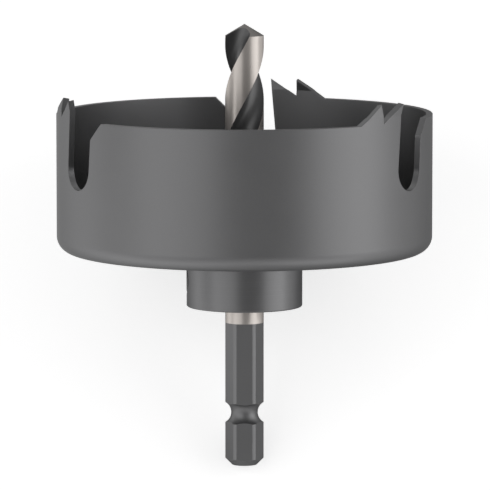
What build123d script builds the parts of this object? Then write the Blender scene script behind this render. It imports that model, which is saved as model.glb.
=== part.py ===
from build123d import *

import os
from math import asin, atan2, cos, degrees, hypot, radians, sin, sqrt, tan

# Hole saw: a deep-drawn cup with three groups of set teeth, swaged onto a turned hub.
# A pilot drill with its own hexagonal shank runs through the hub and is held by a grub screw.
#
# The tool is built upright, with its axis on Z and the middle of the cup's underside at zero.
# Angles round the axis start at the front (-Y) and grow towards the right (+X).
# Last, every piece is laid down together, as the tool comes to rest on a bench:
# on the cup's rounded corner and the end of the shank, with the drill pointing up and back.

# Driving dimensions, in millimetres and degrees

# Cup
cup_diameter = 68.0
cup_wall = 1.2
cup_height = 25.1
cup_corner_radius = 2.9

# Gullets: one ahead of each tooth group, unevenly spaced so that the saw doesn't chatter
gullet_angles = (60.0, 176.5, 299.0)
gullet_width = 7.9
gullet_depth = 12.4
gullet_lean = 5.0
gullet_chamfer = 3.0

# Teeth: in each group one leads, bent outwards, and one follows, bent inwards
tooth_height = 3.45
tooth_pitch = 5.3
tooth_back_angle = 33.0
second_face_lean = 2.5
bend_height = 1.4
tooth_set_angle = 11.0

# Hub
hub_diameter = 21.0
hub_length = 10.05
hub_edge_break = 0.25
spigot_diameter = 14.0
spigot_clearance = 0.02
swage_width = 1.0
swage_height = 1.0

# Pilot drill
drill_diameter = 7.0
drill_reach = 41.2
drill_clearance = 0.04
point_angle = 118.0
flute_count = 2
flute_pitch = 40.0
flute_length = 32.0
land_angle = 90.0
land_front_height = 32.4
web_thickness = 2.1
wheel_radius = 24.0

# Shank
round_length = 3.0
hex_length = 26.1
hex_sides = 6
hex_flats = 6.35
groove_distance = 9.6
groove_depth = 1.08
groove_floor_width = 1.5
groove_flank_angle = 45.0
end_chamfer = 1.25

# Grub screw, in the hub's left side, and the flat on the drill that it bears on
screw_angle = 270.0
screw_drop = 5.2
screw_diameter = 5.0
screw_clearance = 0.03
screw_chamfer = 0.3
screw_point_chamfer = 0.8
socket_flats = 2.5
socket_depth = 2.5
countersink_depth = 0.25
countersink_taper = 45.0
flat_depth = 1.0
flat_margin = 1.5

# Cuts run past the faces that they open
cut_past = 1.0

# Values worked out from the driving dimensions
cup_radius = cup_diameter / 2
hub_radius = hub_diameter / 2
drill_radius = drill_diameter / 2
spigot_radius = spigot_diameter / 2
screw_radius = screw_diameter / 2
tip_height = cup_height + tooth_height
gullet_foot = cup_height - gullet_depth + gullet_width / 2
back_run = tooth_height / tan(radians(tooth_back_angle))
inner_bevel = (cup_corner_radius - cup_wall) * (2 - sqrt(2))
hex_top = -hub_length - round_length
shank_end = hex_top - hex_length
flat_distance = drill_radius - flat_depth


def facing_plane(angle, height):
    """Plane that faces outwards from the tool's axis, its x along the rim and its y up the wall."""
    outwards = Vector(sin(radians(angle)), -cos(radians(angle)), 0)
    along_rim = Vector(cos(radians(angle)), sin(radians(angle)), 0)
    return Plane(origin=(0, 0, height), x_dir=along_rim, z_dir=outwards)


def gullet_side(height, side):
    """Distance of a gullet's leaning side from its middle plane, side being -1 or 1."""
    half_width = gullet_width / 2 / cos(radians(gullet_lean))
    return side * half_width + (height - gullet_foot) * tan(radians(gullet_lean))


def set_tooth(tip_angle, face_run, bend_angle):
    """One tooth, its outline pushed through a band of wall that is bent above the bend line.

    The tip is at tip_angle round the rim. The cutting face's foot is face_run past it,
    and the wall leans outwards by bend_angle, or inwards where that is negative.
    """
    bend_line = cup_height + bend_height
    tip_shift = (tooth_height - bend_height) * tan(radians(bend_angle))
    with BuildPart() as tooth:
        with BuildSketch(facing_plane(tip_angle, cup_height)):
            Polygon((0, tooth_height), (-back_run, 0), (face_run, 0), align=None)
        extrude(amount=cup_diameter)
        with BuildSketch(Plane.XZ):
            with BuildLine():
                Polyline(
                    (cup_radius - cup_wall, cup_height),
                    (cup_radius, cup_height),
                    (cup_radius, bend_line),
                    (cup_radius + tip_shift, tip_height),
                    (cup_radius + tip_shift - cup_wall, tip_height),
                    (cup_radius - cup_wall, bend_line),
                    close=True,
                )
            make_face()
        revolve(axis=Axis.Z, mode=Mode.INTERSECT)
    return tooth.part


# Cup: the drawn shell, its teeth, and then the gullets, whose sides cut the leading teeth's faces
lead_tip_offset = gullet_side(tip_height, -1)
lead_tip_angle = degrees(asin(lead_tip_offset / cup_radius))
second_tip_angle = lead_tip_angle - degrees(tooth_pitch / cup_radius)
second_face_run = tooth_height * tan(radians(second_face_lean))
chamfer_foot = gullet_side(cup_height - gullet_chamfer, 1)
chamfer_reach = gullet_chamfer + cut_past

with BuildPart() as cup:
    with BuildSketch(Plane.XZ):
        with BuildLine():
            Polyline(
                (spigot_radius + spigot_clearance, 0),
                (cup_radius, 0),
                (cup_radius, cup_height),
                (cup_radius - cup_wall, cup_height),
                (cup_radius - cup_wall, cup_wall),
                (spigot_radius + spigot_clearance, cup_wall),
                close=True,
            )
        make_face()
        fillet(vertices().sort_by_distance((cup_radius, 0))[0], cup_corner_radius)
        inner_corner = vertices().sort_by_distance((cup_radius - cup_wall, cup_wall))[0]
        chamfer(inner_corner, inner_bevel)
    revolve(axis=Axis.Z)
    for gullet_angle in gullet_angles:
        add(set_tooth(gullet_angle + lead_tip_angle, cut_past, tooth_set_angle))
        add(set_tooth(gullet_angle + second_tip_angle, second_face_run, -tooth_set_angle))
    for gullet_angle in gullet_angles:
        with BuildSketch(facing_plane(gullet_angle, 0)):
            with Locations((0, gullet_foot)):
                Circle(gullet_width / 2)
                Rectangle(
                    gullet_width,
                    gullet_depth + tooth_height,
                    rotation=-gullet_lean,
                    align=(Align.CENTER, Align.MIN),
                )
            Polygon(
                (chamfer_foot, cup_height - gullet_chamfer),
                (chamfer_foot + chamfer_reach, cup_height + cut_past),
                (chamfer_foot, cup_height + cut_past),
                align=None,
            )
        extrude(amount=cup_diameter, mode=Mode.SUBTRACT)

cup.part.label = "cup"


# Hub: a turned collar with a spigot swaged over inside the cup, bored for the drill
bore_radius = drill_radius + drill_clearance
hole_radius = screw_radius + screw_clearance
screw_plane = facing_plane(screw_angle, -screw_drop)

with BuildPart() as hub:
    with BuildSketch(Plane.XZ):
        with BuildLine():
            Polyline(
                (bore_radius, -hub_length),
                (hub_radius - hub_edge_break, -hub_length),
                (hub_radius, hub_edge_break - hub_length),
                (hub_radius, 0),
                (spigot_radius, 0),
                (spigot_radius, cup_wall),
                (spigot_radius + swage_width, cup_wall),
                (spigot_radius, cup_wall + swage_height),
                (bore_radius, cup_wall + swage_height),
                close=True,
            )
        make_face()
    revolve(axis=Axis.Z)
    with BuildSketch(screw_plane):
        Circle(hole_radius)
    extrude(amount=hub_diameter, mode=Mode.SUBTRACT)
    with BuildSketch(screw_plane.offset(hub_radius - countersink_depth)):
        Circle(hole_radius)
    extrude(amount=cut_past, taper=-countersink_taper, mode=Mode.SUBTRACT)

hub.part.label = "hub"


# Pilot drill: two helical flutes are ground into a pointed bar, and run out above the hub
flute_foot = drill_reach - flute_length
cutter_foot = flute_foot - cut_past
web_radius = web_thickness / 2
land_edge = drill_radius * sin(radians(land_angle / 2))
flute_radius = (drill_radius**2 + web_radius**2 - 2 * land_edge * web_radius) / (
    2 * (land_edge - web_radius)
)
flute_turn = (cutter_foot - land_front_height) / flute_pitch * 360


def wheel_drop(radius):
    """How far below the run-out's top the grinding wheel's rim has risen to this radius."""
    rise = radius - web_radius
    return sqrt(rise * (2 * wheel_radius - rise))


runout_top = flute_foot + wheel_drop(drill_radius)
runout_radius = drill_radius + cut_past
runout_foot = runout_top - wheel_drop(runout_radius)

with BuildPart() as flute_cutter:
    with BuildLine() as flute_axis:
        Line((0, 0, cutter_foot), (0, 0, drill_reach + cut_past))
    with BuildLine() as flute_guide:
        Helix(
            pitch=flute_pitch,
            height=drill_reach + cut_past - cutter_foot,
            radius=drill_radius,
            center=(0, 0, cutter_foot),
        )
    with BuildSketch(Plane.XY.offset(cutter_foot)):
        with PolarLocations(web_radius + flute_radius, flute_count, start_angle=flute_turn):
            Circle(flute_radius)
    sweep(path=flute_axis.wires()[0], binormal=flute_guide.edges()[0])
    with BuildSketch(Plane.XZ):
        with BuildLine():
            Polyline(
                (web_radius, runout_top),
                (0, runout_top),
                (0, runout_foot),
                (runout_radius, runout_foot),
            )
            TangentArc((web_radius, runout_top), (runout_radius, runout_foot), tangent=(0, -1))
        make_face()
    revolve(axis=Axis.Z, mode=Mode.SUBTRACT)

point_height = drill_radius / tan(radians(point_angle / 2))
groove_height = shank_end + groove_distance
groove_reach = groove_depth + cut_past
groove_mouth_width = groove_floor_width + 2 * groove_reach / tan(radians(groove_flank_angle))

with BuildPart() as pilot_drill:
    with BuildSketch(Plane.XZ):
        with BuildLine():
            Polyline(
                (0, hex_top),
                (drill_radius, hex_top),
                (drill_radius, drill_reach - point_height),
                (0, drill_reach),
                close=True,
            )
        make_face()
    revolve(axis=Axis.Z)
    add(flute_cutter.part, mode=Mode.SUBTRACT)
    with BuildSketch(screw_plane.offset(flat_distance)):
        Rectangle(drill_diameter, screw_diameter + 2 * flat_margin)
    extrude(amount=flat_depth + cut_past, mode=Mode.SUBTRACT)
    with BuildSketch(Plane.XY.offset(shank_end)):
        Circle(drill_radius)
        RegularPolygon(hex_flats / 2, hex_sides, major_radius=False, mode=Mode.INTERSECT)
    extrude(amount=hex_length)
    with BuildSketch(Plane.XZ):
        with Locations((drill_radius - groove_depth, groove_height)):
            Polygon(
                (0, -groove_floor_width / 2),
                (groove_reach, -groove_mouth_width / 2),
                (groove_reach, groove_mouth_width / 2),
                (0, groove_floor_width / 2),
                align=None,
            )
        Polygon(
            (drill_radius - end_chamfer - cut_past, shank_end - cut_past),
            (drill_radius + cut_past, shank_end - cut_past),
            (drill_radius + cut_past, shank_end + end_chamfer + cut_past),
            align=None,
        )
    revolve(axis=Axis.Z, mode=Mode.SUBTRACT)

pilot_drill.part.label = "pilot_drill"


# Grub screw: from the drill's flat out to the hub's surface, with a socket for a hexagon key
with BuildPart() as grub_screw:
    with BuildSketch(screw_plane.offset(flat_distance)):
        Circle(screw_radius)
    extrude(amount=hub_radius - flat_distance)
    ends = grub_screw.edges().sort_by(Axis(screw_plane.origin, screw_plane.z_dir))
    chamfer(ends[0], screw_point_chamfer)
    chamfer(ends[-1], screw_chamfer)
    with BuildSketch(screw_plane.offset(hub_radius)):
        RegularPolygon(socket_flats / 2, hex_sides, major_radius=False)
    extrude(amount=-socket_depth, mode=Mode.SUBTRACT)

grub_screw.part.label = "grub_screw"


# Rest: the tool leans on the cup's rounded corner and on the chamfered end of its shank's lowest flat
corner_distance = cup_radius - cup_corner_radius
toe_distance = hex_flats / 2
toe_height = shank_end + end_chamfer - (drill_radius - toe_distance)
rise = corner_distance - toe_distance
run = cup_corner_radius - toe_height
lean = degrees(atan2(rise, run) + asin(cup_corner_radius / hypot(rise, run)))

pieces = (cup, hub, pilot_drill, grub_screw)
laid = Location((0, 0, 0), (lean - 90, 0, 0))
lying = Compound([piece.part.moved(laid) for piece in pieces]).bounding_box()
rest = Location((0, -lying.center().Y, -lying.min.Z)) * laid

os.makedirs("parts", exist_ok=True)
for piece in pieces:
    piece.part.locate(rest)
    export_step(piece.part, f"parts/{piece.part.label}.step")
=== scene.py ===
import logging
from dataclasses import dataclass
from enum import Enum
from math import acos, asin, atan2, ceil, cos, degrees, hypot, pi, radians, sin, sqrt, tan

import bmesh
import bpy
import numpy as np
from mathutils import Matrix, Vector
from mathutils.geometry import delaunay_2d_cdt


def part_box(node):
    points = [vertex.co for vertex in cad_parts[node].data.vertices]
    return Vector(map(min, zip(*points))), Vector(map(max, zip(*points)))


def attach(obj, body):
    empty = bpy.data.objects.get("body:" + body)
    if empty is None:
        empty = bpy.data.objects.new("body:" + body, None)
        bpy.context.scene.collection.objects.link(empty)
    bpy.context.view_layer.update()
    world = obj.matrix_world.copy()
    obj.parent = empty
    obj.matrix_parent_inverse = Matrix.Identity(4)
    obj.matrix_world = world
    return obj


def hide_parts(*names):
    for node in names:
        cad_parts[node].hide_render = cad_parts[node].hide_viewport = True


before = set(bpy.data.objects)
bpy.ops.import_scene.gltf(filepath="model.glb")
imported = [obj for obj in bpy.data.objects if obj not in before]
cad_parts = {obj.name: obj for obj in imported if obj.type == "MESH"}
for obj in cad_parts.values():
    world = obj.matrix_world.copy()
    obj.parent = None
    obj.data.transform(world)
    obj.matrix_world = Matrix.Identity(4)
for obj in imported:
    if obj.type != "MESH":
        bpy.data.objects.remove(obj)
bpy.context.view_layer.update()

# Hole saw: every piece is made upright in millimetres, with the tool's axis on Z and the middle
# of the cup's underside at zero, and is then laid where the frame's own pieces lie, in metres.
# Angles round the axis start at the front (-Y) and grow towards the right (+X).

MILLIMETRE = 0.001
FULL_TURN = 360.0
HEX_SIDES = 6
SIXTH = FULL_TURN / HEX_SIDES
# In millimetres: how near points are welded, how thin a face is dropped, and how far a cutter overshoots
WELD = 0.0005
SLIVER = WELD / 10
PAST = 1.0
BODY = "root"
log = logging.getLogger("hole_saw")

Spot = tuple[float, float]
Outline = list[Spot]
Place = tuple[float, float, float]
Face = tuple[int, ...]


class Combine(Enum):
    """How one solid is combined with another."""

    CUT = "DIFFERENCE"
    KEEP = "INTERSECT"
    JOIN = "UNION"


@dataclass(frozen=True)
class Tool:
    """Sizes that more than one piece shares, and how the tool lies at rest."""

    cup_radius: float = 34.0
    cup_corner: float = 2.9
    wall: float = 1.2
    hub_radius: float = 10.5
    hub_length: float = 10.05
    spigot: float = 7.0
    bar_radius: float = 3.5
    round_length: float = 3.0
    hex_length: float = 26.1
    hex_flats: float = 6.35
    end_chamfer: float = 1.25
    flat_depth: float = 1.0
    screw_radius: float = 2.5
    screw_drop: float = 5.2

    def lean(self) -> float:
        """Angle between the bench and the axis, on the cup's rounded corner and the shank's end.

        Returns:
            The angle in degrees.
        """
        corner = self.cup_radius - self.cup_corner
        toe = self.hex_flats / 2
        shank_end = -self.hub_length - self.round_length - self.hex_length
        toe_height = shank_end + self.end_chamfer - (self.bar_radius - toe)
        rise = corner - toe
        run = self.cup_corner - toe_height
        return degrees(atan2(rise, run) + asin(self.cup_corner / hypot(rise, run)))

    def turn(self) -> Matrix:
        """Rotation that lays the upright tool down."""
        return Matrix.Rotation(radians(self.lean() - 90), 4, "X")

    def zero(self) -> Vector:
        """Place of the tool's zero in the frame, read from the grub screw's box.

        Returns:
            The place, in metres.
        """
        low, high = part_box("grub_screw")
        middle = (low + high) / 2
        drop = self.turn() @ Vector((0, 0, -self.screw_drop * MILLIMETRE))
        place = middle - drop
        return Vector((0, place.y, place.z))

    def matrix(self) -> Matrix:
        """Takes tool coordinates in millimetres to the frame in metres."""
        return Matrix.Translation(self.zero()) @ self.turn() @ Matrix.Scale(MILLIMETRE, 4)


TOOL = Tool()
TO_FRAME = TOOL.matrix()


class NodeSheet:
    """Adds nodes to a tree in short calls: values and links are both given as inputs."""

    def __init__(self, tree: bpy.types.NodeTree) -> None:
        """Keeps the tree that the nodes go into."""
        self.tree = tree

    def feed(self, node: bpy.types.Node, inputs: dict) -> None:
        """Gives inputs of a node their values or links.

        Args:
            node: The node.
            inputs: Values or output sockets by input name or number.
        """
        for key, value in inputs.items():
            if isinstance(value, bpy.types.NodeSocket):
                self.tree.links.new(value, node.inputs[key])
            else:
                node.inputs[key].default_value = value

    def add(self, kind: str, inputs: dict | None = None, **settings: object) -> bpy.types.Node:
        """Adds one node.

        Args:
            kind: The node's type name.
            inputs: Values or output sockets by input name or number.
            **settings: Attributes that are set before the inputs.

        Returns:
            The new node.
        """
        node = self.tree.nodes.new(kind)
        for name, value in settings.items():
            setattr(node, name, value)
        self.feed(node, inputs or {})
        return node

    def maths(self, operation: str, *values: object) -> bpy.types.NodeSocket:
        """Adds a Math node with its values or sockets in order, and returns its result."""
        return self.add("ShaderNodeMath", dict(enumerate(values)), operation=operation).outputs[0]

    def mix(self, factor: object, first: object, second: object) -> bpy.types.NodeSocket:
        """Adds a Mix node for two colours, the factor being the second one's share."""
        return self.add("ShaderNodeMix", {0: factor, 6: first, 7: second}, data_type="RGBA").outputs[2]


def group_tree(name: str, kind: str, inputs: dict[str, tuple], outputs: dict[str, str]) -> tuple:
    """Makes a node group with named inputs and outputs.

    Args:
        name: The group's name.
        kind: Its tree type.
        inputs: Socket type and starting value by input name.
        outputs: Socket type by output name.

    Returns:
        The sheet that adds its nodes, its input node and its output node.
    """
    tree = bpy.data.node_groups.new(name, kind)
    for label, (socket_type, value) in inputs.items():
        socket = tree.interface.new_socket(label, in_out="INPUT", socket_type=socket_type)
        if value is not None:
            socket.default_value = value
    for label, socket_type in outputs.items():
        tree.interface.new_socket(label, in_out="OUTPUT", socket_type=socket_type)
    sheet = NodeSheet(tree)
    return sheet, sheet.add("NodeGroupInput"), sheet.add("NodeGroupOutput")


class Marks(Enum):
    """Which of the shared groups gives a finish its fine detail."""

    GRAIN = "Blasted grain"
    RINGS = "Tool marks"


@dataclass(frozen=True)
class MarkKind:
    """One kind of fine marks, with the cloudy tone that goes with them."""

    turned: bool
    detail: float
    breakup: float
    clouds_per_metre: float
    cloud_detail: float
    cloud_share: float
    bump_height: float = 0.00002

    def group(self, name: str) -> bpy.types.NodeTree:
        """Builds the shared group that changes a colour and its gloss along the marks.

        Args:
            name: The group's name.

        Returns:
            The group, whose marks run round the tool's axis where a lathe or grinder left them.
        """
        number, colour, vector = "NodeSocketFloat", "NodeSocketColor", "NodeSocketVector"
        sheet, given, result = group_tree(
            name,
            "ShaderNodeTree",
            {
                "Vector": (vector, None),
                "Colour": (colour, (0.2, 0.2, 0.2, 1)),
                "Tone Spread": (number, 0.1),
                "Marks per Metre": (number, 5000.0),
                "Marks Depth": (number, 0.1),
                "Roughness": (number, 0.35),
                "Roughness Spread": (number, 0.05),
            },
            {"Colour": colour, "Roughness": number, "Normal": vector},
        )
        place = given.outputs["Vector"]
        if self.turned:
            axes = sheet.add("ShaderNodeSeparateXYZ", {0: place})
            flat = sheet.add("ShaderNodeCombineXYZ", {"X": axes.outputs["X"], "Y": axes.outputs["Y"]})
            radius = sheet.add("ShaderNodeVectorMath", {0: flat.outputs[0]}, operation="LENGTH")
            section = {"X": radius.outputs["Value"], "Y": axes.outputs["Z"]}
            place = sheet.add("ShaderNodeCombineXYZ", section).outputs[0]
        fine = sheet.add(
            "ShaderNodeTexNoise",
            {
                "Vector": place,
                "Scale": given.outputs["Marks per Metre"],
                "Detail": self.detail,
                "Roughness": self.breakup,
            },
        )
        cloud = sheet.add(
            "ShaderNodeTexNoise",
            {
                "Vector": given.outputs["Vector"],
                "Scale": self.clouds_per_metre,
                "Detail": self.cloud_detail,
            },
        )
        fleck = sheet.maths("SUBTRACT", fine.outputs["Fac"], 0.5)
        cloudy = sheet.maths("SUBTRACT", cloud.outputs["Fac"], 0.5)
        mixed = sheet.maths("ADD", fleck, sheet.maths("MULTIPLY", cloudy, self.cloud_share))
        tone = sheet.maths("MULTIPLY_ADD", mixed, given.outputs["Tone Spread"], 1.0)
        tinted = sheet.add(
            "ShaderNodeVectorMath", {0: given.outputs["Colour"], "Scale": tone}, operation="SCALE"
        )
        spread = given.outputs["Roughness Spread"]
        rough = sheet.maths("MULTIPLY_ADD", mixed, spread, given.outputs["Roughness"])
        bump = sheet.add(
            "ShaderNodeBump",
            {
                "Strength": given.outputs["Marks Depth"],
                "Distance": self.bump_height,
                "Height": fine.outputs["Fac"],
            },
        )
        sheet.feed(
            result, {"Colour": tinted.outputs[0], "Roughness": rough, "Normal": bump.outputs[0]}
        )
        return sheet.tree


MARK_KINDS = {
    Marks.GRAIN: MarkKind(
        turned=False, detail=3.0, breakup=0.6, clouds_per_metre=140.0, cloud_detail=4.0, cloud_share=0.6
    ),
    Marks.RINGS: MarkKind(
        turned=True, detail=2.0, breakup=0.5, clouds_per_metre=260.0, cloud_detail=3.0, cloud_share=1.0
    ),
}


@dataclass(frozen=True)
class EdgeHighlightAndWear:
    """Painted highlight along sharp edges, with a little wear: the colour is lightened in uneven patches
    where edges catch the light.
    """

    name: str = "Edge wear"
    gain: float = 6.0
    patches_per_metre: float = 1800.0
    patch_detail: float = 3.0

    def group(self) -> bpy.types.NodeTree:
        """Builds the shared group that paints a lighter colour along the edges, as a highlight with a little
        wear.

        Returns:
            The group.
        """
        number, colour, vector = "NodeSocketFloat", "NodeSocketColor", "NodeSocketVector"
        sheet, given, result = group_tree(
            self.name,
            "ShaderNodeTree",
            {
                "Vector": (vector, None),
                "Colour": (colour, (0.2, 0.2, 0.2, 1)),
                "Worn Colour": (colour, (0.4, 0.4, 0.4, 1)),
                "Amount": (number, 0.5),
                "Width": (number, 0.0001),
            },
            {"Colour": colour},
        )
        rounded = sheet.add("ShaderNodeBevel", {"Radius": given.outputs["Width"]}, samples=4)
        facing = sheet.add("ShaderNodeNewGeometry")
        agree = sheet.add(
            "ShaderNodeVectorMath",
            {0: rounded.outputs[0], 1: facing.outputs["Normal"]},
            operation="DOT_PRODUCT",
        )
        edge = sheet.maths("SUBTRACT", 1.0, agree.outputs["Value"])
        patch = sheet.add(
            "ShaderNodeTexNoise",
            {
                "Vector": given.outputs["Vector"],
                "Scale": self.patches_per_metre,
                "Detail": self.patch_detail,
            },
        )
        # Painted edge highlight: the bevel's edge mask, broken into patches, lightens the colour
        edge_light = sheet.maths("MULTIPLY", sheet.maths("MULTIPLY", edge, self.gain), patch.outputs["Fac"])
        share = sheet.add(
            "ShaderNodeMath", {0: edge_light, 1: given.outputs["Amount"]}, operation="MULTIPLY", use_clamp=True
        )
        mixed = sheet.mix(share.outputs[0], given.outputs["Colour"], given.outputs["Worn Colour"])
        sheet.feed(result, {"Colour": mixed})
        return sheet.tree


EDGE_HIGHLIGHT_AND_WEAR = EdgeHighlightAndWear()


@dataclass(frozen=True)
class Finish:
    """One finish of the tool: its colour, its gloss and the marks that its making left on it."""

    name: str
    colour: Place
    roughness: float
    marks: Marks
    marks_per_metre: float
    marks_depth: float
    tone_spread: float = 0.12
    roughness_spread: float = 0.08
    metallic: float = 1.0
    edge_tint: float = 0.5
    refraction: float = 1.5
    # Painted edge highlight with a little wear: its amount, its lighter colour and its width
    edge_highlight_and_wear: float = 0.0
    edge_light_colour: Place = (0.45, 0.44, 0.43)
    edge_light_width: float = 0.00012

    def material(self, groups: dict[str, bpy.types.NodeTree]) -> bpy.types.Material:
        """Builds the finish's material.

        Args:
            groups: The shared shader groups by name.

        Returns:
            A material whose patterns follow the tool's own axis.
        """
        material = bpy.data.materials.new(self.name)
        material.use_nodes = True
        material.diffuse_color = (*self.colour, 1)
        sheet = NodeSheet(material.node_tree)
        upright = sheet.add(
            "ShaderNodeMapping",
            {
                "Vector": sheet.add("ShaderNodeTexCoord").outputs["Object"],
                "Location": TOOL.zero(),
                "Rotation": (radians(TOOL.lean() - 90), 0, 0),
            },
            vector_type="TEXTURE",
        )
        fine = sheet.add(
            "ShaderNodeGroup",
            {
                "Vector": upright.outputs[0],
                "Colour": (*self.colour, 1),
                "Tone Spread": self.tone_spread,
                "Marks per Metre": self.marks_per_metre,
                "Marks Depth": self.marks_depth,
                "Roughness": self.roughness,
                "Roughness Spread": self.roughness_spread,
            },
            node_tree=groups[self.marks.value],
        )
        colour = fine.outputs["Colour"]
        # Paints a lighter colour along the edges as a highlight, with a little wear
        if self.edge_highlight_and_wear:
            edge_light = sheet.add(
                "ShaderNodeGroup",
                {
                    "Vector": upright.outputs[0],
                    "Colour": colour,
                    "Worn Colour": (*self.edge_light_colour, 1),
                    "Amount": self.edge_highlight_and_wear,
                    "Width": self.edge_light_width,
                },
                node_tree=groups[EDGE_HIGHLIGHT_AND_WEAR.name],
            )
            colour = edge_light.outputs["Colour"]
        sheet.feed(
            material.node_tree.nodes["Principled BSDF"],
            {
                "Base Color": colour,
                "Roughness": fine.outputs["Roughness"],
                "Normal": fine.outputs["Normal"],
                "Metallic": self.metallic,
                "IOR": self.refraction,
                "Specular Tint": (*[self.edge_tint] * 3, 1),
            },
        )
        return material


# The black finishes are oxide and not bare metal, so they shine as a dense clear layer does
FINISHES = (
    # On the coats, the edge amount paints a lighter colour along their edges, as a highlight with a little
    # wear
    Finish("cup_coat", (0.200, 0.200, 0.203), 0.42, Marks.GRAIN, 4200.0, 0.25, edge_highlight_and_wear=0.5),
    Finish("hub_coat", (0.186, 0.186, 0.189), 0.34, Marks.RINGS, 5200.0, 0.12, edge_highlight_and_wear=0.5),
    Finish("ground_land", (0.56, 0.52, 0.487), 0.33, Marks.RINGS, 14000.0, 0.10, edge_tint=0.7),
    Finish(
        "black_flute", (0.054, 0.054, 0.055), 0.36, Marks.GRAIN, 3000.0, 0.03,
        metallic=0.0, edge_tint=1.0, refraction=1.9,
    ),
    Finish("ground_point", (0.25, 0.238, 0.228), 0.36, Marks.RINGS, 9000.0, 0.15),
    Finish("shank_coat", (0.208, 0.208, 0.211), 0.42, Marks.GRAIN, 5000.0, 0.2, edge_highlight_and_wear=0.6),
    Finish(
        "black_screw", (0.034, 0.034, 0.035), 0.34, Marks.GRAIN, 5000.0, 0.2,
        metallic=0.0, edge_tint=1.0, refraction=1.8,
    ),
)


def new_object(name: str, data: bpy.types.ID) -> bpy.types.Object:
    """Links a new object to the scene.

    Args:
        name: The object's name.
        data: Its mesh, lamp or camera.

    Returns:
        The new object.
    """
    linked = bpy.data.objects.new(name, data)
    bpy.context.scene.collection.objects.link(linked)
    return linked


def from_points(name: str, points: np.ndarray, faces: list[Face]) -> bpy.types.Object:
    """Makes a welded mesh object whose closed shells face outwards.

    Args:
        name: The object's name.
        points: Its points, in millimetres, one a row.
        faces: Point numbers of each face.

    Returns:
        The new object, in tool coordinates.
    """
    mesh = bpy.data.meshes.new(name)
    mesh.from_pydata(points.tolist(), [], faces)
    sheet = bmesh.new()
    sheet.from_mesh(mesh)
    unused = [point for point in sheet.verts if not point.link_faces]
    bmesh.ops.delete(sheet, geom=unused, context="VERTS")
    bmesh.ops.remove_doubles(sheet, verts=sheet.verts, dist=WELD)
    bmesh.ops.dissolve_degenerate(sheet, edges=sheet.edges, dist=SLIVER)
    bmesh.ops.recalc_face_normals(sheet, faces=sheet.faces)
    sheet.to_mesh(mesh)
    sheet.free()
    return new_object(name, mesh)


def turned(name: str, section: Outline, columns: int, closed: bool = True) -> bpy.types.Object:
    """Turns a section round the tool's axis, as a lathe does.

    Args:
        name: The object's name.
        section: Radius and height of each point, in order.
        columns: How many columns of faces go round.
        closed: Whether the section's last point joins its first.

    Returns:
        The turned object, in tool coordinates.
    """
    points = []
    for column in range(columns):
        angle = 2 * pi * column / columns
        for radius, height in section:
            points.append((radius * sin(angle), -radius * cos(angle), height))
    rows = len(section)
    last = rows if closed else rows - 1
    faces = []
    for column in range(columns):
        here = column * rows
        there = (column + 1) % columns * rows
        for row in range(last):
            after = (row + 1) % rows
            faces.append((here + row, there + row, there + after, here + after))
    return from_points(name, np.array(points), faces)


def prism(name: str, outline: Outline, low: float, high: float, rows: int = 1) -> bpy.types.Object:
    """Stands an outline up into a solid along the tool's axis.

    Args:
        name: The object's name.
        outline: Points of the closed outline, in millimetres.
        low: Height of its foot.
        high: Height of its top.
        rows: How many rows of faces its sides have.

    Returns:
        The solid, in tool coordinates.
    """
    count = len(outline)
    points = []
    for row in range(rows + 1):
        height = low + (high - low) * row / rows
        points.extend((x, y, height) for x, y in outline)
    faces: list[Face] = [tuple(range(count)), tuple(range(rows * count, (rows + 1) * count))]
    for row in range(rows):
        for step in range(count):
            after = (step + 1) % count
            foot = row * count
            faces.append((foot + step, foot + after, foot + count + after, foot + count + step))
    return from_points(name, np.array(points), faces)


def arc(centre: Spot, radii: Spot, start: float, end: float, steps: int) -> Outline:
    """Points of an arc, both ends among them.

    Args:
        centre: The arc's middle.
        radii: Its radius across and up.
        start: First angle in degrees.
        end: Last angle in degrees.
        steps: How many chords it has.

    Returns:
        The arc's points.
    """
    angles = np.radians(np.linspace(start, end, steps + 1))
    across = centre[0] + radii[0] * np.cos(angles)
    up = centre[1] + radii[1] * np.sin(angles)
    return list(zip(across.tolist(), up.tolist()))


def line(start: Spot, end: Spot, spacing: float) -> Outline:
    """Points along a straight run, its end left out.

    Args:
        start: The run's first point.
        end: The point that it leads to.
        spacing: The widest gap between points.

    Returns:
        The run's points.
    """
    steps = max(1, ceil(hypot(end[0] - start[0], end[1] - start[1]) / spacing))
    shares = [step / steps for step in range(steps)]
    return [(start[0] + (end[0] - start[0]) * t, start[1] + (end[1] - start[1]) * t) for t in shares]


def baked(piece: bpy.types.Object) -> bpy.types.Object:
    """Turns a piece's modifiers into plain mesh.

    Args:
        piece: An object with modifiers.

    Returns:
        The same object, with no modifier left.
    """
    graph = bpy.context.evaluated_depsgraph_get()
    graph.update()
    mesh = bpy.data.meshes.new_from_object(piece.evaluated_get(graph), depsgraph=graph)
    piece.modifiers.clear()
    old = piece.data
    piece.data = mesh
    mesh.name = piece.name
    bpy.data.meshes.remove(old)
    return piece


def combined(piece: bpy.types.Object, tool: bpy.types.Object, how: Combine) -> bpy.types.Object:
    """Cuts, keeps or joins by another solid, which is used up.

    Args:
        piece: The object that is changed.
        tool: The solid that changes it.
        how: Which of the three.

    Returns:
        The changed piece.
    """
    step = piece.modifiers.new("Combine", "BOOLEAN")
    step.operation = how.value
    step.solver = "EXACT"
    step.object = tool
    baked(piece)
    bpy.data.objects.remove(tool)
    return piece


def placed(piece: bpy.types.Object, move: Matrix) -> bpy.types.Object:
    """Moves a mesh within tool coordinates, its object staying at zero.

    Args:
        piece: The object whose mesh moves.
        move: The move.

    Returns:
        The same object.
    """
    piece.data.transform(move)
    piece.data.update()
    return piece


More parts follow.
